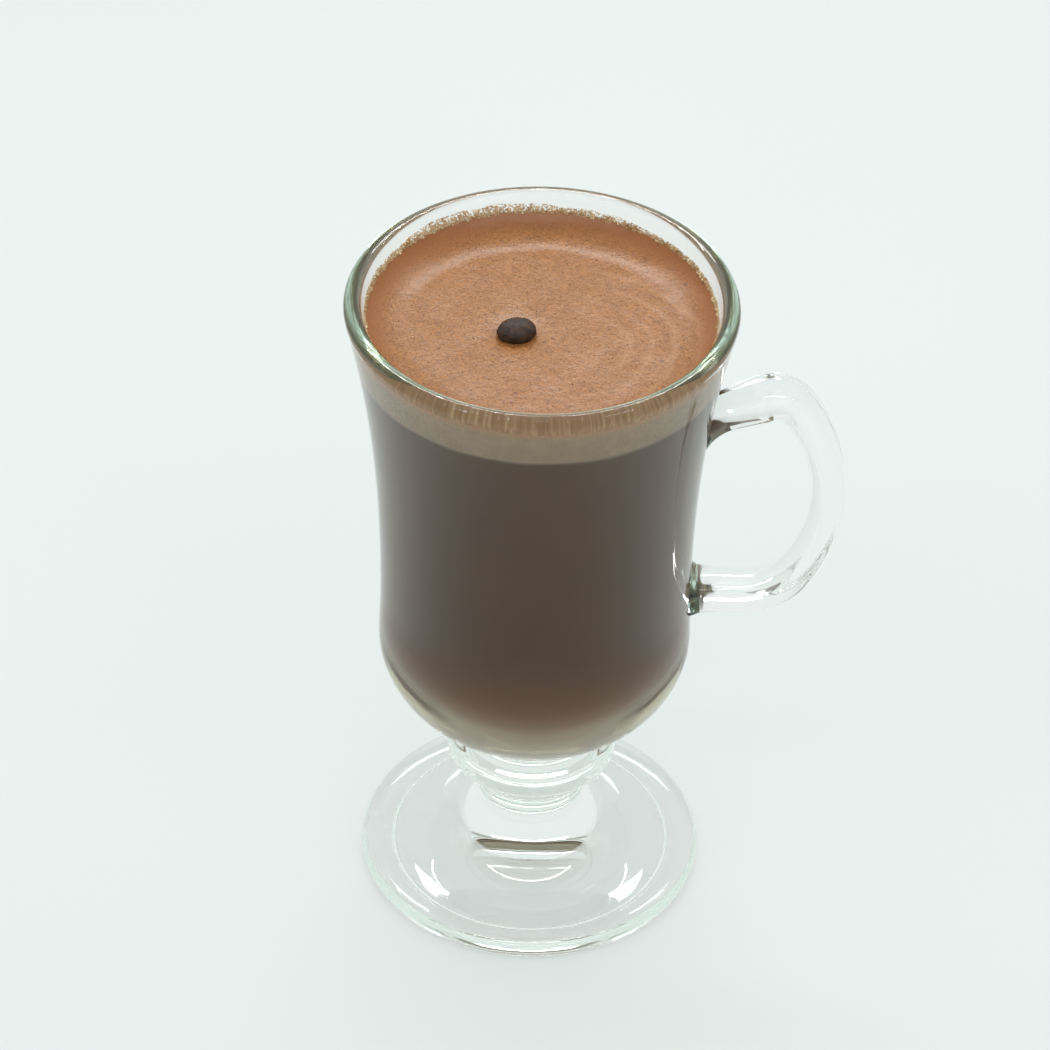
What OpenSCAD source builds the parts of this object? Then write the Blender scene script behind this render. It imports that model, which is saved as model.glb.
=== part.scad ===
// Hot chocolate in a footed glass mug.
// The glass is one pressed piece: bowl, collar, stem, foot and handle.
// The drink stands in it in two layers, and a roasted bean rests on the froth.
// The foot stands on z = 0 and the handle points along +x. All sizes are in mm.

/* [Bowl] */
// height of the glass from table to rim
glass_h = 149; // [136:1:179]
// outer diameter over the rim
rim_d = 79.4; // [74:0.2:95]
// thickness of the rounded rim
rim_t = 3.7; // [3:0.1:4.4]
// outer diameter at the narrowest height of the wall
waist_d = 64.9; // [60:0.1:68]
// outer diameter at the round belly of the bowl
belly_d = 65.6; // [62:0.1:72]
// height of the belly above the bowl's base
belly_h = 23; // [20:0.5:28]
// height of the narrowest wall above the bowl's base
waist_h = 35; // [30:0.5:42]
// how late the wall flares out below the rim
flare_power = 2.33; // [1.8:0.01:3]
// thickness of the side wall
wall_t = 3.3; // [2.8:0.1:3.9]
// depth of the drinking space below the rim
cavity_depth = 103.5; // [96:0.5:105]
// height of the round bottom of the drinking space
cavity_round_h = 25; // [20:0.5:30]

/* [Collar and stem] */
// height of the collar's lower edge above the table
collar_z = 29.3; // [27:0.1:32]
// thickness of the collar
collar_t = 5.4; // [4.5:0.1:6.5]
// diameter of the collar
collar_d = 36; // [32:0.2:40]
// radius of the collar's round edges
collar_edge_r = 1.6; // [1:0.1:2]
// height of the neck between collar and bowl
neck_h = 4.8; // [3.5:0.1:6]
// diameter of the neck under the bowl
neck_d = 26; // [23:0.5:29]
// diameter of the stem
stem_d = 22.6; // [19:0.2:27]
// height at which the stem is thinnest
stem_z = 19; // [17:0.5:22]

/* [Foot] */
// diameter of the foot
foot_d = 73.2; // [66:0.2:88]
// height of the foot's round edge
foot_edge_h = 5; // [4:0.1:6]
// diameter of the hollow under the foot
hollow_d = 59; // [52:0.5:62]
// depth of the step around the hollow
hollow_step = 1.4; // [1:0.1:1.8]
// depth of the hollow at its centre
hollow_depth = 4.5; // [3:0.1:6]
// how sharply the foot rises towards the stem
foot_rise_power = 2.6; // [2:0.1:3.2]

/* [Handle] */
// distance from the glass axis to the handle's outermost face
handle_reach = 63; // [60:0.1:76]
// height of the handle over its outer faces
handle_h = 57; // [50:0.2:66]
// distance from the rim down to the handle's top face
handle_drop = 20.6; // [18:0.2:26]
// width of the handle across
handle_w = 10; // [8:0.1:12]
// thickness of the handle at its side faces
handle_t = 4.5; // [3.8:0.1:5.2]
// how far the handle's inner face bulges
handle_bulge = 2.7; // [2:0.1:3.2]
// radius of the handle's round outer edges
handle_edge_r = 1.4; // [0.8:0.1:1.9]
// radius of the handle's back, over its outer face
handle_back_r = 40; // [36:0.5:48]
// height of the back's centre above the handle's lowest face
handle_back_h = 29.6; // [26:0.2:31]
// radius of the upper bend
handle_top_r = 9.6; // [8.8:0.1:11.5]
// radius of the lower bend
handle_low_r = 16.4; // [13.6:0.1:19]
// slope at which the upper arm leaves the bowl
handle_slope = 30; // [20:1:40]
// depth of the upper arm under its highest point
web_depth = 7.9; // [7.4:0.1:9]
// slope of the upper arm's underside
web_slope = 14; // [8:1:18]
// radius of the corner between the underside and the bowl
web_r = 9.5; // [8:0.1:11.4]
// width of the upper arm's underside
web_w = 8.4; // [7:0.1:9.6]

/* [Drink] */
// depth of the froth's level below the rim
froth_drop = 8.2; // [7:0.1:14]
// height the froth climbs where it meets the wall
meniscus_rise = 3.6; // [2:0.1:4.5]
// width of the climbing edge
meniscus_w = 8.6; // [6:0.1:12]
// thickness of the froth layer
froth_t = 5.2; // [3.5:0.1:9]

/* [Bean] */
// length of the bean
bean_l = 8.2; // [7:0.1:10]
// width of the bean
bean_w = 6.8; // [5.8:0.1:8]
// height of the bean
bean_h = 4; // [3.4:0.1:4.8]
// how deep the bean sits in the froth
bean_sink = 1.1; // [0.6:0.1:1.8]
// distance of the bean to the left of the glass axis
bean_left = 5; // [0:0.5:12]
// distance of the bean in front of the glass axis
bean_front = 1; // [-8:0.5:10]
// turn of the bean's length from the handle's direction
bean_turn = 18; // [-90:1:90]
// width of the furrow in its flat side
furrow_w = 0.9; // [0.6:0.1:1.2]

/* [Hidden] */
$fn = 96;

// steps along a curved profile
STEPS = 44;
// overlap of a cutter past the face it opens
PAST = 2;
// the handle's bends are slimmer than its other stretches by SLIP, and reach into them by JOIN
SLIP = 0.02;
JOIN = 0.1;
// how far the web's round corner starts inside the wall, and how far it runs past the upper bend's top
WEB_BITE = 0.4;
WEB_PAST = 1.9;
// powers that shape the undercut below the collar and the neck above it, across and upwards
UNDERCUT_P = 3;
UNDERCUT_Q = 0.8;
NECK_P = 3;
NECK_Q = 1.4;

rim_r = rim_d / 2;
rim_bead = rim_t / 2;
rim_z = glass_h - rim_bead;
collar_top = collar_z + collar_t;
bowl_z = collar_top + neck_h;
belly_z = bowl_z + belly_h;
waist_z = bowl_z + waist_h;
neck_r = neck_d / 2;
stem_r = stem_d / 2;
collar_r = collar_d / 2;
foot_r = foot_d / 2;
foot_edge = foot_edge_h / 2;
cavity_z = glass_h - cavity_depth;
cavity_round_z = cavity_z + cavity_round_h;

// powers of the belly's rounding, below the widest height
BELLY_P = 2;
BELLY_Q = 1.18;

// outer radius of the bowl at a height
function flare(z) = pow((z - waist_z) / (rim_z - waist_z), flare_power);
function smooth(u) = (1 - cos(180 * u)) / 2;
function under(z) = pow((belly_z - z) / (belly_z - bowl_z), BELLY_P);
function bowl_r(z) =
    z >= waist_z ? waist_d / 2 + (rim_r - waist_d / 2) * flare(z) :
    z >= belly_z ? belly_d / 2 + (waist_d - belly_d) / 2 * smooth((z - belly_z) / (waist_z - belly_z)) :
    neck_r + (belly_d / 2 - neck_r) * pow(max(0, 1 - under(z)), 1 / BELLY_Q);

// thickness of the wall, which grows a little towards the rim
function wall_at(z) = wall_t + (rim_t - wall_t) * pow(max(0, (z - waist_z) / (rim_z - waist_z)), 2);

// inner radius of the bowl at a height; the bottom is a half ellipse
function round_share(z) =
    z >= cavity_round_z ? 1 : sqrt(max(0, 1 - pow((cavity_round_z - z) / cavity_round_h, 2)));
function cavity_wall(z) = bowl_r(max(z, cavity_round_z)) - wall_at(max(z, cavity_round_z));
function cavity_r(z) = cavity_wall(z) * round_share(z);

// heights set closer together where the profile turns fastest
function spread(a, b, i) = a + (b - a) * (1 - cos(90 * i / STEPS));
function even(a, b, i) = a + (b - a) * i / STEPS;

// height of the foot's upper face at a radius between the stem and the edge
foot_top_r = foot_r - foot_edge;
foot_join_z = stem_z;
function foot_share(r) = (foot_top_r - r) / (foot_top_r - stem_r);
function foot_z(r) = foot_edge_h + (foot_join_z - foot_edge_h) * pow(foot_share(r), foot_rise_power);

// height of the hollow under the foot at a radius
function hollow_z(r) = hollow_step + (hollow_depth - hollow_step) * (1 - pow(2 * r / hollow_d, 2));

bowl_points = concat(
    [[0, bowl_z]],
    [for (i = [0:STEPS]) let (z = spread(bowl_z, belly_z, i)) [bowl_r(z), z]],
    [for (i = [1:STEPS]) let (z = even(belly_z, rim_z, i)) [bowl_r(z), z]],
    [[0, rim_z]]);

cavity_points = concat(
    [[0, cavity_z]],
    [for (i = [1:STEPS]) let (z = spread(cavity_z, cavity_round_z, i)) [cavity_r(z), z]],
    [for (i = [1:STEPS]) let (z = even(cavity_round_z, rim_z, i)) [cavity_r(z), z]],
    [[cavity_r(rim_z), glass_h + PAST], [0, glass_h + PAST]]);

foot_points = concat(
    [[0, 0], [foot_top_r, 0], [foot_top_r, foot_edge_h]],
    [for (i = [1:STEPS]) let (r = even(foot_top_r, stem_r, i)) [r, foot_z(r)]],
    [[0, foot_join_z]]);

hollow_points = concat(
    [[0, -PAST], [hollow_d / 2, -PAST]],
    [for (i = [0:STEPS]) let (r = even(hollow_d / 2, 0, i)) [r, hollow_z(r)]]);

// the undercut of the collar, drawn in to the stem
under_w = collar_r - collar_edge_r - stem_r;
under_h = collar_z - stem_z;
stem_points = concat(
    [[0, stem_z]],
    [for (i = [0:STEPS]) let (u = i / STEPS)
        [stem_r + under_w * pow(u, UNDERCUT_P), stem_z + under_h * pow(u, UNDERCUT_Q)]],
    [[collar_r - collar_edge_r, collar_z + collar_edge_r], [0, collar_z + collar_edge_r]]);

// the neck swells from the collar's upper face to the bowl
neck_w = collar_r - collar_edge_r - neck_r;
neck_points = concat(
    [[0, collar_top - collar_edge_r], [collar_r - collar_edge_r, collar_top - collar_edge_r]],
    [for (i = [0:STEPS]) let (u = i / STEPS)
        [neck_r + neck_w * pow(1 - u, NECK_P), collar_top + neck_h * pow(u, NECK_Q)]],
    [[neck_r, bowl_z + PAST], [0, bowl_z + PAST]]);

// a ring section with round outer edges
module pill(r, z0, h, edge) {
    translate([0, z0]) square([r - edge, h]);
    translate([0, z0 + edge]) square([r, h - 2 * edge]);
    for (z = [z0 + edge, z0 + h - edge]) translate([r - edge, z]) circle(r = edge);
}

// half outline of the glass body, from the axis outwards
module body_section() {
    polygon(bowl_points);
    translate([rim_r - rim_bead, rim_z]) circle(r = rim_bead);
    polygon(neck_points);
    pill(collar_r, collar_z, collar_t, collar_edge_r);
    polygon(stem_points);
    polygon(foot_points);
    translate([foot_top_r, foot_edge]) circle(r = foot_edge);
}

module right_half() {
    translate([0, -PAST]) square([foot_d + rim_d, glass_h + 3 * PAST]);
}

module body() {
    rotate_extrude() intersection() {
        body_section();
        right_half();
    }
}

module cavity() {
    rotate_extrude() polygon(cavity_points);
}

// section of the handle, drawn in by a slip on all sides: flat outside at x = 0, bulging inside
bulge_r = (pow(handle_w / 2, 2) + pow(handle_bulge, 2)) / (2 * handle_bulge);
module handle_section(slip) {
    half = handle_w / 2 - slip;
    edge = handle_edge_r - slip;
    inner = half - edge;
    translate([-handle_t, -inner]) square([handle_t - slip, 2 * inner]);
    translate([-handle_t, -half]) square([handle_t - handle_edge_r, 2 * half]);
    for (s = [-1, 1]) translate([-handle_edge_r, s * inner]) circle(r = edge);
    intersection() {
        translate([bulge_r - handle_t - handle_bulge, 0]) circle(r = bulge_r - slip);
        translate([-handle_t - bulge_r, -half]) square([bulge_r + handle_t / 2, 2 * half]);
    }
}

// centres of the handle's three bends, chosen so that each runs into the next
handle_top = glass_h - handle_drop;
handle_low = handle_top - handle_h;
back_x = handle_reach - handle_back_r;
back_z = handle_low + handle_back_h;
top_z = handle_top - handle_top_r;
low_z = handle_low + handle_low_r;
top_x = back_x + sqrt(pow(handle_back_r - handle_top_r, 2) - pow(top_z - back_z, 2));
low_x = back_x + sqrt(pow(handle_back_r - handle_low_r, 2) - pow(low_z - back_z, 2));
top_turn = atan2(top_z - back_z, top_x - back_x);
low_turn = atan2(low_z - back_z, low_x - back_x);

// one stretch of the handle whose outer face has radius r; a positive slip pokes it into its neighbours
module bend(x, z, r, from, to, slip) {
    more = slip > 0 ? JOIN / r * 180 / PI : 0;
    translate([x, 0, z]) rotate([90, 0, 0]) rotate([0, 0, from - more])
        rotate_extrude(angle = to - from + 2 * more) translate([r, 0]) handle_section(slip);
}

// a straight arm, run inwards from the upper end of a bend
module arm(x, z, r, angle, length) {
    translate([x, 0, z]) rotate([90, 0, 0]) rotate([0, 0, angle])
        translate([r, 0, 0]) rotate([-90, 0, 0]) linear_extrude(length) handle_section(0);
}

// the web deepens the upper arm and runs down the bowl in a round corner
function web_z(x) = handle_top - web_depth + (x - top_x) * tan(web_slope);
web_end_x = top_x + WEB_PAST;
web_guess_z = web_z(waist_d / 2 + web_r) - web_r / cos(web_slope);
web_x = bowl_r(web_guess_z) + web_r - WEB_BITE;
web_low_z = web_z(web_x) - web_r / cos(web_slope);
web_in_x = bowl_r(web_low_z) - wall_t / 2;
arm_z = top_z + (handle_top_r - handle_t / 2) / cos(handle_slope) - (top_x - web_in_x) * tan(handle_slope);
module web() {
    rotate([90, 0, 0]) translate([0, 0, -web_w / 2]) linear_extrude(web_w) difference() {
        polygon([
            [web_in_x, web_low_z],
            [web_x, web_low_z],
            [web_x - web_r * sin(web_slope), web_z(web_x - web_r * sin(web_slope))],
            [web_end_x, web_z(web_end_x)],
            [top_x, handle_top - handle_t / 2],
            [web_in_x, arm_z]]);
        translate([web_x, web_low_z]) circle(r = web_r);
    }
}

module handle() {
    bend(back_x, back_z, handle_back_r, low_turn, top_turn, 0);
    bend(top_x, top_z, handle_top_r, top_turn, 90 + handle_slope, SLIP);
    bend(low_x, low_z, handle_low_r, -90, low_turn, SLIP);
    arm(top_x, top_z, handle_top_r, 90 + handle_slope, top_x - waist_d / 2 + wall_t);
    mirror([0, 0, 1]) arm(low_x, -low_z, handle_low_r, 90, low_x - waist_d / 2 + wall_t);
    web();
}

module glass() {
    color([0.85, 0.93, 0.9, 0.4]) difference() {
        union() {
            body();
            handle();
        }
        cavity();
        rotate_extrude() polygon(hollow_points);
    }
}

// the froth's level, and the arc by which it climbs the wall
froth_z = glass_h - froth_drop;
froth_low = froth_z - froth_t;
meniscus_r = (pow(meniscus_w, 2) + pow(meniscus_rise, 2)) / (2 * meniscus_rise);
meniscus_x = cavity_r(froth_z + meniscus_rise) - meniscus_w;

module filled_section(low, high) {
    intersection() {
        polygon(cavity_points);
        translate([0, low]) square([rim_d, high - low]);
    }
}

module chocolate() {
    color([0.3, 0.22, 0.17]) rotate_extrude() filled_section(0, froth_low);
}

// the upper half of a stretched ball, with the furrow along its flat side
module bean_body() {
    difference() {
        scale([bean_l / 2, bean_w / 2, bean_h]) sphere(r = 1);
        translate([-bean_l, -bean_l, -2 * bean_h]) cube([2 * bean_l, 2 * bean_l, 2 * bean_h]);
        rotate([0, 90, 0]) cylinder(d = furrow_w, h = 2 * bean_l, center = true);
    }
}

module bean() {
    color([0.16, 0.1, 0.07])
        translate([-bean_left, -bean_front, froth_z - bean_sink]) rotate([0, 0, bean_turn]) bean_body();
}

module foam() {
    color([0.72, 0.5, 0.36]) difference() {
        rotate_extrude() difference() {
            filled_section(froth_low, froth_z + meniscus_rise);
            difference() {
                translate([0, froth_z]) square([rim_d, meniscus_rise + PAST]);
                translate([meniscus_x, froth_z]) difference() {
                    square([rim_d, meniscus_r + PAST]);
                    translate([0, meniscus_r]) circle(r = meniscus_r);
                }
            }
        }
        bean();
    }
}

glass();
chocolate();
foam();
bean();
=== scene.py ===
# %% [markdown]
# Hot chocolate in a footed glass mug, finished in Blender.
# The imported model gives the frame: where the table is, how high the rim stands, and where each piece is.
# The glass is one pressed piece, and the drink stands in it as chocolate with a layer of froth on top.
# A roasted bean rests on the froth. Everything below is in metres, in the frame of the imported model.

# %% Load the frame
import math

import bmesh
import bpy
import numpy as np
from mathutils import Matrix, Vector


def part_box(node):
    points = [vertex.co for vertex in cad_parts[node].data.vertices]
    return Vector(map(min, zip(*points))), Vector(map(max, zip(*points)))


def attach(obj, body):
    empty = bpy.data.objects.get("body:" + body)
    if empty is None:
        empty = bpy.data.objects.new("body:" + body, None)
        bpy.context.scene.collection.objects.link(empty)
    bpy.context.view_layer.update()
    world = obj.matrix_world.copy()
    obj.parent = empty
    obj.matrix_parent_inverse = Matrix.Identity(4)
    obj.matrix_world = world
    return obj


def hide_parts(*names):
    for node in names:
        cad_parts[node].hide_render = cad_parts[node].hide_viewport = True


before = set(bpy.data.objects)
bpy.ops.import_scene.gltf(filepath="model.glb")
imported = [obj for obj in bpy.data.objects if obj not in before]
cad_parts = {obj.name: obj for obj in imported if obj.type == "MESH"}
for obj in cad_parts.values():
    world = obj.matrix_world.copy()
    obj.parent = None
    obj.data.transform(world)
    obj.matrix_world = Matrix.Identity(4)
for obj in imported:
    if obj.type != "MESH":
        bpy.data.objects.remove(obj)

MM = 0.001
CREASE = math.radians(50)
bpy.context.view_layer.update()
glass_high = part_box("glass")[1]
drink_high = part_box("chocolate")[1]
bean_low, bean_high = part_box("bean")
print("glass height mm", round(glass_high.z / MM, 2), "handle reach mm", round(glass_high.x / MM, 2))

# %% [markdown]
# The camera looks down on the mug from in front, with a long lens, so that the rim is a wide ellipse.
# Its place is worked out from a pitch, a distance and the point it looks at, because those are the numbers
# that one changes on a real tripod. It is also turned by about one degree, as a hand-set tripod is.

# %% Camera
PITCH = math.radians(39.497)
ROLL = math.radians(1.243)
DISTANCE = 969.87 * MM
AIM = Vector((-2.457, 7.556, 84.167)) * MM
LENS = 158.95


def make_camera():
    """The view axis d is the horizontal direction turned down by the pitch. The camera stands at AIM minus
    DISTANCE times d, and its right and up directions are turned about d by the roll."""
    d = Vector((0, math.cos(PITCH), -math.sin(PITCH)))
    right = Vector((1, 0, 0))
    up = right.cross(d)
    r2 = right * math.cos(ROLL) + up * math.sin(ROLL)
    u2 = up * math.cos(ROLL) - right * math.sin(ROLL)
    turn = Matrix((r2, u2, -d)).transposed().to_4x4()
    data = bpy.data.cameras.new("camera")
    data.sensor_width = 36
    data.lens = LENS
    data.clip_start = 0.05
    data.clip_end = 50
    camera = bpy.data.objects.new("camera", data)
    camera.matrix_world = Matrix.Translation(AIM - d * DISTANCE) @ turn
    bpy.context.scene.collection.objects.link(camera)
    return camera


scene = bpy.context.scene
scene.camera = make_camera()
scene.view_settings.view_transform = "Standard"
# light is mirrored many times inside thick glass, and too few bounces leave its rim black
scene.cycles.max_bounces = 36
scene.cycles.glossy_bounces = 32
scene.cycles.transmission_bounces = 32
print("camera mm", [round(v / MM, 1) for v in scene.camera.location])

# %% [markdown]
# Every new piece here is a grid of points: rows along a profile and columns around it.
# One helper turns such a grid into a mesh. It can close the grid around, and close a row into one point,
# as at the middle of a bowl. Whole arrays are used, so even a fine grid is made at once.

# %% Grid helper


def grid_mesh(name, points, wrap_rows=False, pole_start=False, pole_end=False, flip=False):
    """points[i, j] is row i, column j, and the columns close into a ring. Each four neighbours make one face.
    A pole replaces a whole end row by the mean of its points, with triangles around it."""
    rows, cols = points.shape[:2]
    index = np.arange(rows * cols).reshape(rows, cols)
    nxt = np.roll(index, -1, axis=1)
    low, high = (index, np.roll(index, -1, axis=0)) if wrap_rows else (index[:-1], index[1:])
    low_n, high_n = (nxt, np.roll(nxt, -1, axis=0)) if wrap_rows else (nxt[:-1], nxt[1:])
    quads = np.stack([low, low_n, high_n, high], -1).reshape(-1, 4)
    verts = points.reshape(-1, 3)
    tris = []
    for pole, row, turn in ((pole_start, 0, False), (pole_end, rows - 1, True)):
        if pole:
            centre = np.full(cols, len(verts))
            verts = np.vstack([verts, points[row].mean(0)])
            ring, ring_n = index[row], nxt[row]
            tris.append(np.stack([centre, ring_n, ring] if not turn else [centre, ring, ring_n], -1))
    faces = quads[:, ::-1].tolist() if flip else quads.tolist()
    for t in tris:
        faces += (t[:, ::-1] if flip else t).tolist()
    mesh = bpy.data.meshes.new(name)
    mesh.from_pydata(verts.tolist(), [], faces)
    mesh.update()
    mesh.polygons.foreach_set("use_smooth", np.ones(len(mesh.polygons), bool))
    piece = bpy.data.objects.new(name, mesh)
    bpy.context.scene.collection.objects.link(piece)
    return piece


def lathe(profile, count):
    """Turns a profile of (radius, height) rows about the z axis: x = r cos a, y = r sin a, z = height."""
    a = np.linspace(0, 2 * np.pi, count, endpoint=False)
    r, z = profile[:, :1], profile[:, 1:]
    return np.stack([r * np.cos(a), r * np.sin(a), z + 0 * a], -1)


def resample(curve, step):
    """Points at even distances along a polyline: distance is summed along it, then read at equal steps."""
    along = np.r_[0, np.cumsum(np.hypot(*np.diff(curve, axis=0).T))]
    even = np.linspace(0, along[-1], max(3, int(along[-1] / step) + 1))
    return np.stack([np.interp(even, along, curve[:, k]) for k in (0, 1)], -1)


def soften(curve, reach, step):
    """Rounds corners: each point becomes the bell-weighted mean of its neighbours, and the ends stay put."""
    half = int(3 * reach / step)
    k = np.exp(-0.5 * (np.arange(-half, half + 1) * step / reach) ** 2)
    k /= k.sum()
    out = []
    for c in (0, 1):
        v = curve[:, c]
        before = 2 * v[0] - v[half:0:-1]
        after = 2 * v[-1] - v[-2:-half - 2:-1]
        out.append(np.convolve(np.r_[before, v, after], k, "valid"))
    return np.stack(out, -1)


def report_mesh(piece):
    """Prints the number of faces and open edges, and the volume that the mesh encloses."""
    bm = bmesh.new()
    bm.from_mesh(piece.data)
    open_edges = sum(1 for e in bm.edges if len(e.link_faces) != 2)
    volume = bm.calc_volume(signed=True)
    triangles = sum(len(f.verts) - 2 for f in bm.faces)
    bm.free()
    print(piece.name, "triangles", triangles, "open edges", open_edges, "volume ml", round(volume * 1e6, 2))


# %% [markdown]
# The glass is pressed in a mould and fire polished, so its outline is a chain of soft curves:
# a hollow under the foot, a round foot edge, a foot that sweeps up to the stem, a collar, a neck,
# the bowl, the round rim, and the wall inside. A lathe suits it, since all of that is round.
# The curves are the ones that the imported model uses, written as functions of height.

# %% Outline of the glass
GLASS_H = glass_high.z / MM
RIM_R = glass_high.y / MM
RIM_BEAD = 1.85
RIM_Z = GLASS_H - RIM_BEAD
WALL_T, RIM_T = 3.3, 2 * RIM_BEAD
BOWL_Z, BELLY_Z, WAIST_Z = 39.5, 62.5, 74.5
WAIST_R, BELLY_R, NECK_R = 32.45, 32.8, 13.0
CAVITY_Z, ROUND_H = 45.5, 25.0
ROUND_Z = CAVITY_Z + ROUND_H
STEM_R, STEM_Z = 11.3, 19.0
COLLAR_R, COLLAR_Z, COLLAR_T, COLLAR_EDGE = 18.0, 29.3, 5.4, 1.6
FOOT_R, FOOT_EDGE = 36.6, 2.5
HOLLOW_R, HOLLOW_STEP, HOLLOW_DEPTH = 29.5, 1.4, 4.5


def bowl_r(z):
    """Outer radius: a flare by a power of the height above the waist, a cosine blend from the belly to the
    waist, and a rounded quarter below the belly."""
    z = np.asarray(z, float)
    flare = WAIST_R + (RIM_R - WAIST_R) * np.clip((z - WAIST_Z) / (RIM_Z - WAIST_Z), 0, None) ** 2.33
    blend = (1 - np.cos(np.pi * np.clip((z - BELLY_Z) / (WAIST_Z - BELLY_Z), 0, 1))) / 2
    middle = BELLY_R + (WAIST_R - BELLY_R) * blend
    down = np.clip((BELLY_Z - z) / (BELLY_Z - BOWL_Z), 0, 1)
    low = NECK_R + (BELLY_R - NECK_R) * (1 - down ** 2) ** (1 / 1.18)
    return np.where(z >= WAIST_Z, flare, np.where(z >= BELLY_Z, middle, low))


def cavity_r(z):
    """Inner radius: the outer one less the wall, and below the round part's top a half ellipse."""
    z = np.asarray(z, float)
    zc = np.maximum(z, ROUND_Z)
    wall = WALL_T + (RIM_T - WALL_T) * np.clip((zc - WAIST_Z) / (RIM_Z - WAIST_Z), 0, None) ** 2
    share = np.sqrt(np.clip(1 - (np.clip(ROUND_Z - z, 0, None) / ROUND_H) ** 2, 0, 1))
    return (bowl_r(zc) - wall) * share


def arc(x, z, r, start, end, count=24):
    """Points of a circle about (x, z) between two angles in degrees."""
    a = np.radians(np.linspace(start, end, count))
    return np.stack([x + r * np.cos(a), z + r * np.sin(a)], -1)


def glass_outline():
    """The half section: from the middle of the hollow, round the outside and the rim, to the cavity's
    bottom."""
    u = np.linspace(0, 1, 60)
    top_r = FOOT_R - FOOT_EDGE
    hollow = np.stack([HOLLOW_R * u, HOLLOW_STEP + (HOLLOW_DEPTH - HOLLOW_STEP) * (1 - u ** 2)], -1)
    foot_r = top_r + (STEM_R - top_r) * u
    foot = np.stack([foot_r, 2 * FOOT_EDGE + (STEM_Z - 2 * FOOT_EDGE) * u ** 2.6], -1)
    in_r = COLLAR_R - COLLAR_EDGE
    stem = np.stack([STEM_R + (in_r - STEM_R) * u ** 3, STEM_Z + (COLLAR_Z - STEM_Z) * u ** 0.8], -1)
    collar_top = COLLAR_Z + COLLAR_T
    neck_r = NECK_R + (in_r - NECK_R) * (1 - u) ** 3
    neck = np.stack([neck_r, collar_top + (BOWL_Z - collar_top) * u ** 1.4], -1)
    fine = 1 - np.cos(np.pi / 2 * u)
    low_z = BOWL_Z + (BELLY_Z - BOWL_Z) * fine
    high_z = np.linspace(BELLY_Z, RIM_Z, 90)[1:]
    in_high = np.linspace(RIM_Z, ROUND_Z, 90)[1:]
    in_low = (CAVITY_Z + ROUND_H * fine)[::-1][1:]
    return np.vstack([
        hollow, [[HOLLOW_R + 0.2, 0]],
        arc(top_r, FOOT_EDGE, FOOT_EDGE, -90, 90), foot[1:], stem[1:],
        arc(in_r, COLLAR_Z + COLLAR_EDGE, COLLAR_EDGE, -90, 0, 12),
        arc(in_r, collar_top - COLLAR_EDGE, COLLAR_EDGE, 0, 90, 12),
        neck[1:], np.stack([bowl_r(low_z), low_z], -1)[1:],
        np.stack([bowl_r(high_z), high_z], -1),
        arc(RIM_R - RIM_BEAD, RIM_Z, RIM_BEAD, 0, 180),
        np.stack([cavity_r(in_high), in_high], -1),
        np.stack([cavity_r(in_low), in_low], -1)])


STEP = 0.25
outline = soften(resample(glass_outline(), STEP), reach=0.4, step=STEP)
outline[:, 1] = np.maximum(outline[:, 1], 0)
print("outline points", len(outline), "length mm", round(len(outline) * STEP, 1))

# %% [markdown]
# Most of the outline is nearly straight, and only its bends need fine rows.
# So rows are kept where the direction has turned by a few degrees, or where a few millimetres have passed.

# %% Thin out the rows


def keep_rows(curve, turn, most):
    """Walks a cost along the curve: the turning angle over `turn` plus the distance over `most`.
    A row is kept each time the cost passes a whole number."""
    step = np.diff(curve, axis=0)
    heading = np.unwrap(np.arctan2(step[:, 1], step[:, 0]))
    bend = np.abs(np.r_[0, np.diff(heading), 0])
    dist = np.r_[0, np.hypot(*step.T)]
    cost = np.floor(np.cumsum(bend / turn + dist / most))
    keep = np.r_[True, np.diff(cost) > 0]
    keep[-1] = True
    return curve[keep]


GLASS_COLS = 224
profile = keep_rows(outline, turn=math.radians(6), most=2.0)
print("rows kept", len(profile))
glass = grid_mesh("glass_mug", lathe(profile * MM, GLASS_COLS)[1:-1], pole_start=True, pole_end=True)
report_mesh(glass)

# %% [markdown]
# The handle is an ear: a slanted upper arm that is deepest at the bowl, a tight bend, a long curved back,
# a wider lower bend and a level lower arm. Its section is flat outside and bulges inside.
# It is swept between two plane curves, the outer and the inner, so that its depth can change along the way.

# %% Handle curves
TOP = (47.64, 118.8, 9.6)
BACK = (23.0, 101.0, 40.0)
LOW = (42.56, 87.8, 16.4)
TOP_TURN = math.degrees(math.atan2(TOP[1] - BACK[1], TOP[0] - BACK[0]))
LOW_TURN = math.degrees(math.atan2(LOW[1] - BACK[1], LOW[0] - BACK[0]))
TOP_OUT, TOP_IN, TOP_DEPTH = 120, 104, 7.9
DEPTH, HALF_WIDTH = 7.2, 5.0
ROOT_X, LOW_ROOT_X = 32.4, 31.0
ARM_POINTS = 34


def line(a, b, count):
    """Evenly spaced points from a to b."""
    return np.linspace(a, b, count)


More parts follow.
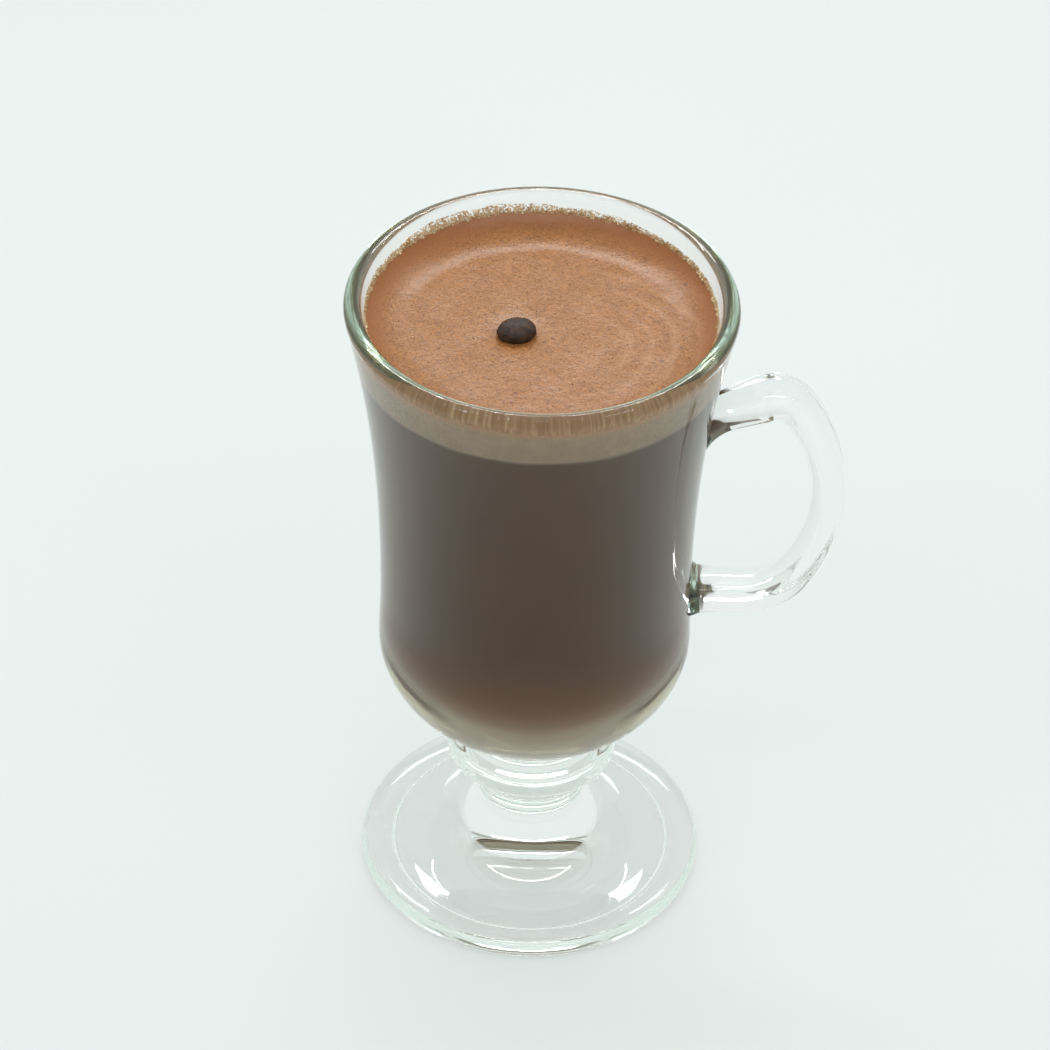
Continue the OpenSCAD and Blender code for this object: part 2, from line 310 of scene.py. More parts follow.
def handle_curves():
    """Outer and inner curve in the plane y = 0, point for point, from the upper root to the lower one.
    Bends are circles about shared centres, and the upper arm's underside runs down the bowl in a round
    corner."""
    slope = math.radians(30)
    start = arc(*TOP, TOP_OUT, TOP_OUT, 1)[0]
    top_root = start - (start[0] - ROOT_X) * np.array([1, math.tan(slope)])
    outer_arm = line(top_root, start, ARM_POINTS)
    corner = arc(42.85, 109.52, 9.5, 180, TOP_IN, 20)
    bend_in = arc(TOP[0], TOP[1], TOP[2] - TOP_DEPTH, TOP_IN, TOP_IN, 1)[0]
    down_bowl = line((ROOT_X, 107.6), corner[0], 4)[:-1]
    inner_arm = np.vstack([down_bowl, corner, line(corner[-1], bend_in, 12)[1:]])
    inner_arm = resample(inner_arm, 0.05)
    inner_arm = inner_arm[np.linspace(0, len(inner_arm) - 1, ARM_POINTS).astype(int)]
    turn = np.linspace(0, 1, 26)[:, None]
    a_out = np.radians(TOP_OUT + (TOP_TURN - TOP_OUT) * turn)
    a_in = np.radians(TOP_IN + (TOP_TURN - TOP_IN) * turn)
    r_in = TOP[2] - TOP_DEPTH + 0.7 * turn
    outer_top = np.hstack([TOP[0] + TOP[2] * np.cos(a_out), TOP[1] + TOP[2] * np.sin(a_out)])
    inner_top = np.hstack([TOP[0] + r_in * np.cos(a_in), TOP[1] + r_in * np.sin(a_in)])
    outer_back = arc(*BACK, TOP_TURN, LOW_TURN, 56)
    inner_back = arc(BACK[0], BACK[1], BACK[2] - DEPTH, TOP_TURN, LOW_TURN, 56)
    outer_low = arc(*LOW, LOW_TURN, -90, 28)
    inner_low = arc(LOW[0], LOW[1], LOW[2] - DEPTH, LOW_TURN, -90, 28)
    x = np.linspace(LOW[0], LOW_ROOT_X, 24)
    flare = 1.6 * np.exp(-np.clip(x - ROOT_X, 0, None) / 1.1)
    floor_z = LOW[1] - LOW[2]
    outer_end = np.stack([x, floor_z - 0.6 * flare], -1)
    inner_end = np.stack([x, floor_z + DEPTH + flare], -1)
    outer = np.vstack([outer_arm, outer_top[1:], outer_back[1:], outer_low[1:], outer_end[1:]])
    inner = np.vstack([inner_arm, inner_top[1:], inner_back[1:], inner_low[1:], inner_end[1:]])
    return outer, inner


def section_ring():
    """Half width (-1 to 1) and depth (0 outside to 1 inside) round the handle's section: a flat face, round
    edges, straight sides and a circular bulge, then mirrored to close the ring."""
    w, r, side = HALF_WIDTH, 1.4, 4.5
    bulge = DEPTH - side
    big = (w ** 2 + bulge ** 2) / (2 * bulge)
    a = np.linspace(0, math.asin(w / big), 12)[::-1]
    q = np.linspace(0, np.pi / 2, 7)
    half = np.vstack([
        line((0, 0), (w - r, 0), 5),
        np.stack([w - r + r * np.sin(q), r - r * np.cos(q)], -1)[1:],
        line((w, r), (w, side), 4)[1:],
        np.stack([big * np.sin(a), DEPTH - big + big * np.cos(a)], -1)[1:]])
    ring = np.vstack([half, (half * [-1, 1])[-2:0:-1]])
    k = np.array([1, 2, 1]) / 4
    ring = sum(np.roll(ring, s, 0) * kk for s, kk in zip((-1, 0, 1), k))
    return ring / [w, DEPTH]


def make_handle():
    """Each station carries the section ring from its outer point to its inner point. The ring is 10 mm wide
    and widens a little where it meets the bowl."""
    outer, inner = handle_curves()
    ring = section_ring()
    gap = (inner - outer)[:, None, :]
    plane = outer[:, None, :] + gap * ring[None, :, 1:2]
    reach = np.maximum(outer[:, 0], inner[:, 0]) - 33.2
    width = HALF_WIDTH * (1 + 0.16 * np.exp(-np.clip(reach, 0, None) / 1.6))
    y = width[:, None] * ring[None, :, 0]
    points = np.stack([plane[..., 0], y, plane[..., 1]], -1) * MM
    piece = grid_mesh("handle_part", points, pole_start=True, pole_end=True)
    bm = bmesh.new()
    bm.from_mesh(piece.data)
    bmesh.ops.recalc_face_normals(bm, faces=bm.faces)
    bm.to_mesh(piece.data)
    bm.free()
    return piece


handle = make_handle()
report_mesh(handle)

# %% [markdown]
# Glass that lies inside glass would show its hidden faces, because light bends at every face it crosses.
# So the handle and the round body are joined into one skin with a boolean union, as the real mug is one
# piece.

# %% Join the handle to the body


def unite(body, tool):
    """Applies a boolean union to the body's mesh and removes the tool."""
    mod = body.modifiers.new("join", "BOOLEAN")
    mod.operation = "UNION"
    mod.solver = "MANIFOLD"
    mod.object = tool
    bpy.context.view_layer.update()
    mesh = bpy.data.meshes.new_from_object(body.evaluated_get(bpy.context.evaluated_depsgraph_get()))
    body.modifiers.remove(mod)
    old = body.data
    body.data = mesh
    bpy.data.meshes.remove(old)
    bpy.data.objects.remove(tool)
    body.data.polygons.foreach_set("use_smooth", np.ones(len(body.data.polygons), bool))
    body.data.set_sharp_from_angle(angle=CREASE)


unite(glass, handle)
report_mesh(glass)
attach(glass, "root")
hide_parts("glass")

# %% [markdown]
# The chocolate fills the bowl up to the froth. Its skin lies a hair inside the wall, 0.06 mm past the
# inner face, so that no air gap shows between drink and glass: light then passes from glass straight
# to the drink, which is why a full glass looks full to its outer edge.

# %% Chocolate
INTO_WALL = 0.06
FROTH_LOW = drink_high.z / MM


def drink_profile():
    """The cavity's outline from its lowest point to the froth's underside, moved outwards by INTO_WALL."""
    low_z = CAVITY_Z + ROUND_H * (1 - np.cos(np.linspace(0, np.pi / 2, 50)))
    z = np.r_[low_z, np.linspace(ROUND_Z, FROTH_LOW, 60)[1:]]
    r = cavity_r(z) + INTO_WALL
    r[0] = 0.05
    z = z - INTO_WALL * np.clip((ROUND_Z - z) / ROUND_H, 0, 1)
    flat = np.linspace(r[-1], 0.5, 20)[1:]
    return np.stack([np.r_[r, flat], np.r_[z, np.full(len(flat), FROTH_LOW)]], -1)


DRINK_COLS = 160
CORNER = math.radians(40)
chocolate = grid_mesh("drink", lathe(drink_profile() * MM, DRINK_COLS), pole_start=True, pole_end=True)
chocolate.data.set_sharp_from_angle(angle=CORNER)
report_mesh(chocolate)
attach(chocolate, "root")
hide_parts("chocolate")

# %% [markdown]
# The froth is a soft foam of tiny bubbles. It is level in the middle and climbs the wall in a hollow curve,
# and its edge on the wall is ragged. The top is a polar grid whose height gets slow waves, a few dents and
# small pits, and its side runs down the wall to the chocolate.

# %% Froth
FROTH_Z = 140.8
RISE, RISE_W = 3.6, 8.6
RISE_R = (RISE_W ** 2 + RISE ** 2) / (2 * RISE)
RISE_X = float(cavity_r(FROTH_Z + RISE)) - RISE_W
BEAN = (bean_low + bean_high) / 2
TOP_ROWS, SIDE_ROWS, UNDER = 150, 15, (0.7, 0.35, 0.02)
FROTH_COLS = 320


def waves(a, seed, count, low, high):
    """A closed wavy line round the glass: a sum of cosines with whole numbers of waves and random phases."""
    g = np.random.default_rng(seed)
    k = g.integers(low, high, count)[:, None]
    p = g.uniform(0, 2 * np.pi, count)[:, None]
    return (np.cos(k * a + p) / np.sqrt(k)).sum(0) / math.sqrt(count)


def edge_rise(a):
    """Height that the froth climbs at each angle: the mean rise, more at the back than in front by a cosine,
    with slow and quick waves."""
    return RISE + 0.75 * np.cos(a - 1.75) + 0.25 * waves(a, 3, 5, 1, 5) + 0.22 * waves(a, 5, 14, 9, 60)


def froth_height(r, a):
    """Height of the froth's face: level, then a circular hollow curve to the wall, with a ripple, and a
    bell-shaped dimple where the bean has sunk in."""
    out = np.clip(r - RISE_X, 0, RISE_W)
    base = (RISE_R - np.sqrt(RISE_R ** 2 - out ** 2)) / RISE
    x, y = r * np.cos(a), r * np.sin(a)
    ripple = 0.05 * np.sin(0.42 * x + 0.9) * np.sin(0.35 * y + 0.4) + 0.006 * np.sin(0.9 * x - 0.7 * y)
    calm = np.clip(r / 6, 0, 1)
    away = np.hypot(x - BEAN.x / MM, y - BEAN.y / MM)
    dimple = 0.75 * np.exp(-(away / 4.6) ** 2)
    return FROTH_Z + base * edge_rise(a) + ripple * (0.4 + 0.6 * calm) - dimple


def froth_points(count):
    """Rows from the middle of the top out to the wall, down the wall, and back in under the froth."""
    a = np.linspace(0, 2 * np.pi, count, endpoint=False)
    wall = cavity_r(froth_height(np.full(count, 99.0), a)) + INTO_WALL
    share = np.r_[0.004, np.linspace(0, 1, TOP_ROWS)[1:]] ** 0.8
    r = share[:, None] * wall
    top = np.stack([r * np.cos(a), r * np.sin(a), froth_height(r, a[None, :])], -1)
    edge_z = top[-1, :, 2]
    down = np.linspace(0, 1, SIDE_ROWS + 1)[1:, None]
    z = edge_z + (FROTH_LOW - 0.02 - edge_z) * down
    side_r = cavity_r(z) + INTO_WALL
    side = np.stack([side_r * np.cos(a), side_r * np.sin(a), z], -1)
    under = np.concatenate([side[-1:] * np.array([s, s, 1]) for s in UNDER])
    return np.concatenate([top, side, under])


def mark_rows(piece, name, values, count):
    """Stores one number per row of the grid as an attribute of its points, so that a finish can read it."""
    data = np.zeros(len(piece.data.vertices), np.float32)
    data[:len(values) * count] = np.repeat(np.asarray(values, np.float32), count)
    piece.data.attributes.new(name, "FLOAT", "POINT").data.foreach_set("value", data)


froth = grid_mesh("froth", froth_points(FROTH_COLS) * MM, pole_start=True, pole_end=True, flip=True)
froth.data.set_sharp_from_angle(angle=CORNER)
rows_on_wall = [0] * (TOP_ROWS - 1) + [1] * (SIDE_ROWS + 1) + [0] * len(UNDER)
mark_rows(froth, "on_wall", rows_on_wall, FROTH_COLS)
report_mesh(froth)
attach(froth, "root")
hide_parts("foam")

# %% [markdown]
# A roasted bean is a half egg: a round back, and a flat side with a furrow, which lies in the froth here.
# Its skin is a little wrinkled. The form is a stretched ball whose lower half is pressed flat.

# %% Bean


def bean_points(rows, cols):
    """A ball in angles from the top, stretched to half sizes of 4.05, 3.35 and 2 mm. Its back is rounder than
    its underside, one end is fuller, a furrow runs along the underside and slow waves wrinkle the skin."""
    t = np.linspace(0, np.pi, rows)[1:-1, None]
    a = np.linspace(0, 2 * np.pi, cols, endpoint=False)[None, :]
    wrinkle = 1 + 0.014 * np.sin(5 * a + 3 * t) * np.sin(6 * t) + 0.010 * np.sin(9 * a - 4 * t) * np.sin(t)
    x = 4.05 * np.sin(t) * np.cos(a) * wrinkle
    y = 3.35 * np.sin(t) * np.sin(a) * (1 + 0.05 * np.cos(a)) * wrinkle
    up = np.cos(t) + 0 * a
    z = np.where(up > 0, 2.35 * np.abs(up) ** 0.9, -1.6 * np.abs(up) ** 0.8) * wrinkle
    nick = 0.16 * np.exp(-((x + 0.5) ** 2 + (y - 0.3) ** 2) / 0.35)
    furrow = np.where(up < 0, np.exp(-(y / 0.5) ** 2) * 0.35, 0)
    z = z + furrow - np.where(up > 0, nick, 0)
    turn = math.radians(18)
    px, py = x * math.cos(turn) - y * math.sin(turn), x * math.sin(turn) + y * math.cos(turn)
    base = bean_low.z / MM + 1.62
    return np.stack([px + BEAN.x / MM, py + BEAN.y / MM, z + base], -1)


bean = grid_mesh("roasted_bean", bean_points(60, 84) * MM, pole_start=True, pole_end=True, flip=True)
report_mesh(bean)
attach(bean, "root")
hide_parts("bean")

# %% [markdown]
# Small bubbles gather where the froth meets the wall: a lacy band of fine fizz with a few larger ones in it.
# They are pin heads and smaller, so each is a real ball of a few dozen faces, and one array sum copies it.
# The band is widest at the back and left, where the drink was poured against the wall.

# %% Bubbles at the wall


def small_ball(level):
    """Points and faces of a ball from Blender's icosphere: level 1 has 20 faces and level 2 has 80."""
    bm = bmesh.new()
    bmesh.ops.create_icosphere(bm, subdivisions=level, radius=1)
    verts = np.array([v.co[:] for v in bm.verts])
    faces = np.array([[v.index for v in f.verts] for f in bm.faces])
    bm.free()
    return verts, faces


def scatter(name, centres, sizes, level):
    """One mesh of many balls: each copy is the ball times its size plus its centre."""
    verts, faces = small_ball(level)
    points = verts[None] * sizes[:, None, None] + centres[:, None, :]
    index = faces[None] + (np.arange(len(centres)) * len(verts))[:, None, None]
    mesh = bpy.data.meshes.new(name)
    mesh.from_pydata((points.reshape(-1, 3) * MM).tolist(), [], index.reshape(-1, 3).tolist())
    mesh.polygons.foreach_set("use_smooth", np.ones(len(mesh.polygons), bool))
    piece = bpy.data.objects.new(name, mesh)
    bpy.context.scene.collection.objects.link(piece)
    return piece


def wall_bubbles(count, small, large, power, seed):
    """Bubbles along the froth's edge. Angles are drawn evenly, and kept by a share that peaks at the back and
    left. The height over the edge falls off as a bell whose width follows the same share, with slow waves.
    Sizes follow a power law, and each bubble touches the wall."""
    g = np.random.default_rng(seed)
    a = g.uniform(0, 2 * np.pi, count * 4)
    share = 0.30 + 0.45 * (1 + np.sin(a)) / 2 + 0.25 * np.exp(-((a - 2.2) / 0.8) ** 2)
    keep = g.random(len(a)) < share
    a, share = a[keep][:count], share[keep][:count]
    size = small + (large - small) * g.random(len(a)) ** power
    lace = 0.5 + 0.5 * waves(a, 11, 9, 7, 40)
    left_back = np.exp(-((a - 2.0) / 0.7) ** 2)
    bell = np.minimum(np.abs(g.normal(0, 1, len(a))), 2.0)
    up = bell * (0.35 + (0.6 * share + 0.9 * left_back) * lace) - 0.35
    z = FROTH_Z + edge_rise(a) + up
    r = cavity_r(z) - size * g.uniform(0.6, 0.95, len(a))
    return np.stack([r * np.cos(a), r * np.sin(a), z], -1), size


bubbles = scatter("edge_bubbles", *wall_bubbles(900, small=0.12, large=0.36, power=3.0, seed=21), level=2)
fizz = scatter("edge_fizz", *wall_bubbles(9500, small=0.08, large=0.20, power=1.4, seed=22), level=1)

# %% [markdown]
# Froth that ran down the wall leaves upright streaks of the tiniest bubbles in front, over the froth's edge.
# They are scattered along some four hundred lines, so that they read as streaks and not as sand.

# %% Streaks of drained froth


def drained_streaks(count, streaks, seed):
    """Tiny bubbles, each on one of the upright streaks. A bubble has its streak's angle with a little spread,
    and its height is a share, from 0 to 1, of the streak's own length. The streaks are longest in front."""
    g = np.random.default_rng(seed)
    line_a = g.uniform(-np.pi, 0, streaks)
    long = (0.5 + 2.0 * g.random(streaks)) * (0.35 + 0.65 * np.exp(-((line_a + np.pi / 2) / 0.9) ** 2))
    pick = g.integers(0, streaks, count)
    a = line_a[pick] + g.normal(0, 0.003, count)
    z = FROTH_Z + edge_rise(a) + long[pick] * g.random(count) ** 1.3
    size = g.uniform(0.05, 0.11, count)
    r = cavity_r(z) - 0.7 * size
    return np.stack([r * np.cos(a), r * np.sin(a), z], -1), size


streaks = scatter("drained_streaks", *drained_streaks(9000, streaks=420, seed=23), level=1)
for piece in (bubbles, fizz, streaks):
    report_mesh(piece)
    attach(piece, "root")

# %% [markdown]
# In front the froth stood higher before it settled, and it left a thin golden film on the wall.
# The film is a flat ring: a narrow closed section that runs up the wall and back down, carried round the
# glass. Its top edge is high in front and sinks under the froth's own edge at the back, where it vanishes.

# %% Film on the wall
FILM_T = 0.06


def film_points(rows, cols):
    """The section goes up the wall 0.03 mm inside the glass, and down again FILM_T nearer the axis. The top
    edge over the froth's edge is a bell about the front, with quick waves."""
    a = np.linspace(0, 2 * np.pi, cols, endpoint=False)
    ahead = (a + np.pi / 2 + np.pi) % (2 * np.pi) - np.pi
    low = FROTH_Z + edge_rise(a) - 0.5
    over = 2.8 * np.exp(-(ahead / 1.15) ** 4) * (1 + 0.10 * waves(a, 41, 12, 15, 90)) - 0.3
    high = np.minimum(low + 0.5 + over, RIM_Z - 0.1)
    share = np.linspace(0, 1, rows)[:, None]
    z = low + (high - low) * share
    outer_r = cavity_r(z) + 0.03
    inner_r = outer_r - FILM_T
    outer = np.stack([outer_r * np.cos(a), outer_r * np.sin(a), z], -1)
    inner = np.stack([inner_r * np.cos(a), inner_r * np.sin(a), z], -1)
    return np.concatenate([outer, inner[::-1]])


film = grid_mesh("drained_film", film_points(10, 480) * MM, wrap_rows=True)
film.data.set_sharp_from_angle(angle=CREASE)
report_mesh(film)
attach(film, "root")

# %% [markdown]
# Cocoa never dissolves fully, and a few grains stay on the froth. The finest are colour, and the larger
# ones are real grains that lie in the face, each a ball of twenty faces. Points in a disc are even when the
# radius goes with the square root of a random number.

# %% Cocoa grains


def grain_points(count, seed):
    """Centres even over the froth's disc, at the froth's own height, and sizes from 0.06 to 0.17 mm."""
    g = np.random.default_rng(seed)
    r = 32.5 * np.sqrt(g.random(count))
    a = g.uniform(0, 2 * np.pi, count)
    size = 0.06 + 0.11 * g.random(count) ** 2.5
    away = np.hypot(r * np.cos(a) - BEAN.x / MM, r * np.sin(a) - BEAN.y / MM) > 4.3
    points = np.stack([r * np.cos(a), r * np.sin(a), froth_height(r, a)], -1)
    return points[away], size[away]


grains = scatter("cocoa_grains", *grain_points(420, seed=31), level=1)
report_mesh(grains)
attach(grains, "root")

# %% [markdown]
# Materials are built from nodes. A small helper adds nodes and links them by name, so that each finish
# below reads as a short recipe. Values that are the same all over a surface are set on the shader itself.

# %% Node helpers


def new_material(name):
    """A material with an empty node tree, its output and a Principled shader."""
    mat = bpy.data.materials.new(name)
    mat.use_nodes = True
    tree = mat.node_tree
    tree.nodes.clear()
    out = tree.nodes.new("ShaderNodeOutputMaterial")
    shader = tree.nodes.new("ShaderNodeBsdfPrincipled")
    tree.links.new(shader.outputs[0], out.inputs["Surface"])
    return mat, tree, shader, out


def add(tree, kind, **values):
    """Adds a node, and sets its properties or input values by name."""
    n = tree.nodes.new(kind)
    for key, value in values.items():
        name = key.replace("_", " ")
        if name in n.inputs:
            n.inputs[name].default_value = value
        else:
            setattr(n, key, value)
    return n


def link(tree, a, b):
    """Links an output socket to an input socket."""
    tree.links.new(a, b)


def noise(tree, coord, scale, detail=3, rough=0.5):
    """Fractal noise on the object's own coordinates. Scale is in waves a metre."""
    n = add(tree, "ShaderNodeTexNoise", Scale=scale, Detail=detail, Roughness=rough)
    link(tree, coord, n.inputs["Vector"])
    return n.outputs["Fac"]


def ramp(tree, fac, stops):
    """A colour ramp from (position, colour) stops."""
    n = tree.nodes.new("ShaderNodeValToRGB")
    while len(n.color_ramp.elements) < len(stops):
        n.color_ramp.elements.new(0.5)
    for element, (pos, colour) in zip(n.color_ramp.elements, stops):
        element.position = pos
        element.color = (*colour, 1)
    link(tree, fac, n.inputs["Fac"])
    return n.outputs["Color"]


def mix(tree, fac, a, b, mode="MIX"):
    """Mixes two colours. Each of fac, a and b is a socket or a plain value."""
    n = tree.nodes.new("ShaderNodeMix")
    n.data_type = "RGBA"
    n.blend_type = mode
    for socket, value in ((n.inputs["Factor"], fac), (n.inputs["A"], a), (n.inputs["B"], b)):
        if isinstance(value, bpy.types.NodeSocket):
            link(tree, value, socket)
        else:
            socket.default_value = (*value, 1) if isinstance(value, tuple) else value
    return n.outputs["Result"]


def calc(tree, operation, a, b=0.0, clamp=False):
    """One sum on two numbers or sockets."""
    n = tree.nodes.new("ShaderNodeMath")
    n.operation = operation
    n.use_clamp = clamp
    for k, value in enumerate((a, b)):
        if isinstance(value, bpy.types.NodeSocket):
            link(tree, value, n.inputs[k])
        else:
            n.inputs[k].default_value = value
    return n.outputs[0]


def fade(tree, value, start, end, smooth=False):
    """A share that runs from 0 to 1 as the value goes from start to end, evenly or with soft ends."""
    n = tree.nodes.new("ShaderNodeMapRange")
    n.interpolation_type = "SMOOTHSTEP" if smooth else "LINEAR"
    n.inputs["From Min"].default_value = start
    n.inputs["From Max"].default_value = end
    link(tree, value, n.inputs["Value"])
    return n.outputs[0]


def split_xyz(tree, coord):
    """The three coordinates as numbers."""
    n = tree.nodes.new("ShaderNodeSeparateXYZ")
    link(tree, coord, n.inputs[0])
    return n.outputs["X"], n.outputs["Y"], n.outputs["Z"]


def bump(tree, height, strength, distance, before=None):
    """A bump node: strength is how much it shows, and distance how high it is in metres."""
    n = add(tree, "ShaderNodeBump", Strength=strength, Distance=distance)
    link(tree, height, n.inputs["Height"])
    if before is not None:
        link(tree, before, n.inputs["Normal"])
    return n.outputs["Normal"]


def finish_piece(piece, mat):
    """Gives a piece this one material."""
    piece.data.materials.clear()
    piece.data.materials.append(mat)
    print(piece.name, "has the finish", mat.name)


def object_coord(tree):
    """The object's own coordinates, in metres."""
    return tree.nodes.new("ShaderNodeTexCoord").outputs["Object"]


# %% [markdown]
# Where glass touches the drink, light that meets it at a very low angle is mirrored as on a wet window,
# because milk bends light less than glass does. This shows as bright rims in the thick glass of the base.
# The shader thinks that it stands in air, so this mirror is added by the facing angle. It is full past
# 66 degrees.

# %% Mirror at low angles


def wet_mirror(tree, shader, colour, rough, where=1.0, power=2.0):
    """The mirror's share is a power of the facing value's place between 0.06 and 0.60, so that it starts
    slowly and is full past 66 degrees. where is 1 on faces that touch glass, and 0 on faces in the open air.
    A higher power makes the start sharper."""
    facing = add(tree, "ShaderNodeLayerWeight", Blend=0.5).outputs["Facing"]
    low = calc(tree, "MULTIPLY", calc(tree, "POWER", fade(tree, facing, 0.06, 0.60), power), where)
    link(tree, mix(tree, low, colour, (0.81, 0.775, 0.665)), shader.inputs["Base Color"])
    link(tree, low, shader.inputs["Metallic"])
    smooth = calc(tree, "MULTIPLY", rough, calc(tree, "SUBTRACT", 1.0, low))
    link(tree, smooth, shader.inputs["Roughness"])


# %% [markdown]
# Pressed glass is clear, with a touch of green where light runs a long way through it, as at the rim.
# That green comes from absorption in its volume, so thick parts tint by themselves.
# Its surface is fire polished but not perfectly even, so slow low waves bend the reflections.

# %% Glass finish


def glass_material():
    """Clear and smooth: transmission 1, index 1.5, absorption in the volume, and a bump of slow noise."""
    mat, tree, shader, out = new_material("pressed_glass")
    shader.inputs["Base Color"].default_value = (1, 1, 1, 1)
    shader.inputs["Roughness"].default_value = 0.0
    shader.inputs["IOR"].default_value = 1.5
    shader.inputs["Transmission Weight"].default_value = 1.0
    coord = object_coord(tree)
    slow = noise(tree, coord, 45, 2, 0.5)
    link(tree, bump(tree, slow, 0.25, 0.0006), shader.inputs["Normal"])
    volume = add(tree, "ShaderNodeVolumeAbsorption", Color=(0.74, 0.95, 0.82, 1), Density=4.5)
    link(tree, volume.outputs[0], out.inputs["Volume"])
    return mat


finish_piece(glass, glass_material())

# %% [markdown]
# Hot chocolate is milk with cocoa in it: dull, brown and a little cloudy. Fine cocoa hangs in it unevenly,
# so its brown shifts slightly, and it is lighter just under the froth, where the foam drains into it.

# %% Chocolate finish


def chocolate_material():
    """Two browns by slow noise and a little grain, paler by height at the top. At the bottom, painted light
    from the floor below makes it lighter and redder, with a painted pale spot at the very bottom. The mirror
    at low angles starts more sharply in the round bottom."""
    mat, tree, shader, out = new_material("hot_chocolate")
    coord = object_coord(tree)
    cloud = noise(tree, coord, 60, 4, 0.55)
    grain = noise(tree, coord, 420, 3, 0.6)
    brown = ramp(tree, cloud, [(0.3, (0.074, 0.028, 0.0050)), (0.7, (0.087, 0.033, 0.0062))])
    brown = mix(tree, calc(tree, "MULTIPLY", grain, 0.12), brown, (0.13, 0.06, 0.025))
    z = split_xyz(tree, coord)[2]
    wave = calc(tree, "MULTIPLY", calc(tree, "SUBTRACT", cloud, 0.5), 0.0012)
    up = fade(tree, calc(tree, "ADD", z, wave), (FROTH_LOW - 0.9) * MM, FROTH_LOW * MM)
    # painted light: the lower bowl is painted lighter and redder, standing in for light from the floor below
    down = fade(tree, z, 0.082, 0.048, smooth=True)
    brown = mix(tree, down, brown, (0.28, 0.128, 0.052))
    # painted light: the very bottom is painted as the pale spot that is seen through the stem
    brown = mix(tree, fade(tree, z, 0.056, 0.047, smooth=True), brown, (0.56, 0.46, 0.35))
    colour = mix(tree, up, brown, (0.26, 0.19, 0.125))
    power = calc(tree, "ADD", 2.0, calc(tree, "MULTIPLY", down, 3.5))
    wet_mirror(tree, shader, colour, calc(tree, "ADD", 0.45, calc(tree, "MULTIPLY", cloud, 0.1)), 1.0, power)
    shader.inputs["IOR"].default_value = 1.1
    link(tree, bump(tree, cloud, 0.15, 0.0002), shader.inputs["Normal"])
    return mat


finish_piece(chocolate, chocolate_material())

# %% [markdown]
# The froth is pinkish brown on top, and painted darker and more orange where it climbs the wall, as painted
# shade under its hollow curve. Its face has pores of a few tenths of a millimetre, faint paler swirls from
# stirring, and dark specks of cocoa. Through the wall its side looks tan. All of these are set by radius and
# height.

# %% Parts of the froth's colour


def froth_swirls(tree, coord, x):
    """Rings about a point near the middle, bent by noise, sharpened by a fourth power, and shown only on the
    handle's side."""
    place = tree.nodes.new("ShaderNodeMapping")
    place.inputs["Location"].default_value = (-0.004, 0.006, -0.14)
    link(tree, coord, place.inputs["Vector"])
    rings = add(tree, "ShaderNodeTexWave", wave_type="RINGS", rings_direction="Z")
    for name, value in (("Scale", 62), ("Distortion", 6.5), ("Detail", 3), ("Detail Scale", 0.6)):
        rings.inputs[name].default_value = value
    link(tree, place.outputs[0], rings.inputs["Vector"])
    return calc(tree, "MULTIPLY", calc(tree, "POWER", rings.outputs["Fac"], 4.0), fade(tree, x, 0.004, 0.02))


def froth_top(tree, coord, mottle, fine, x, y):
    """Pinkish brown, times a grain and a blotch, with swirls, and a darker orange painted shade where the
    froth climbs the wall.
    """
    middle = noise(tree, coord, 900, 2, 0.5)
    top = ramp(tree, mottle, [(0.3, (0.285, 0.118, 0.036)), (0.7, (0.330, 0.143, 0.047))])
    grain = ramp(tree, fine, [(0.34, (0.62,) * 3), (0.50, (0.98,) * 3), (0.70, (1.12,) * 3)])
    blotch = ramp(tree, middle, [(0.32, (0.82,) * 3), (0.55, (1.0,) * 3), (0.75, (1.1,) * 3)])
    top = mix(tree, 1.0, mix(tree, 1.0, top, grain, "MULTIPLY"), blotch, "MULTIPLY")
    streak = froth_swirls(tree, coord, x)
    top = mix(tree, calc(tree, "MULTIPLY", streak, 0.20), top, (0.50, 0.29, 0.165))
    flat = tree.nodes.new("ShaderNodeCombineXYZ")
    link(tree, x, flat.inputs["X"])
    link(tree, y, flat.inputs["Y"])
    radius = add(tree, "ShaderNodeVectorMath", operation="LENGTH")
    link(tree, flat.outputs[0], radius.inputs[0])
    wob = calc(tree, "MULTIPLY", calc(tree, "SUBTRACT", mottle, 0.5), 0.004)
    # painted shade: the froth is darkened to orange brown where it climbs the wall, under its hollow curve
    climb_painted_shade = fade(tree, calc(tree, "ADD", radius.outputs["Value"], wob), 0.0305, 0.0345)
    return mix(tree, climb_painted_shade, top, (0.27, 0.098, 0.028))


def froth_side(tree, mottle, z):
    """Tan through the wall, and golden brown at the thin upper edge."""
    side = ramp(tree, mottle, [(0.3, (0.29, 0.198, 0.106)), (0.7, (0.35, 0.248, 0.140))])
    return mix(tree, fade(tree, z, 0.1422, 0.1438), side, (0.43, 0.215, 0.09))


def cell_pattern(tree, coord, scale):
    """Voronoi cells. Scale is in cells a metre."""
    cells = add(tree, "ShaderNodeTexVoronoi", Scale=scale)
    link(tree, coord, cells.inputs["Vector"])
    return cells


def froth_specks(tree, coord):
    """The middles of cells, in the cells whose random red is over a half or so."""
    cells = cell_pattern(tree, coord, 240)
    dot = calc(tree, "LESS_THAN", cells.outputs["Distance"], 0.10)
    pick = tree.nodes.new("ShaderNodeSeparateColor")
    link(tree, cells.outputs["Color"], pick.inputs[0])
    return calc(tree, "MULTIPLY", dot, calc(tree, "GREATER_THAN", pick.outputs[0], 0.55))


# %% [markdown]
# The froth's finish puts these parts together. Under the skin, cells make the pores, and the slow noise
# that colours the face also bends it a little.

# %% Froth finish


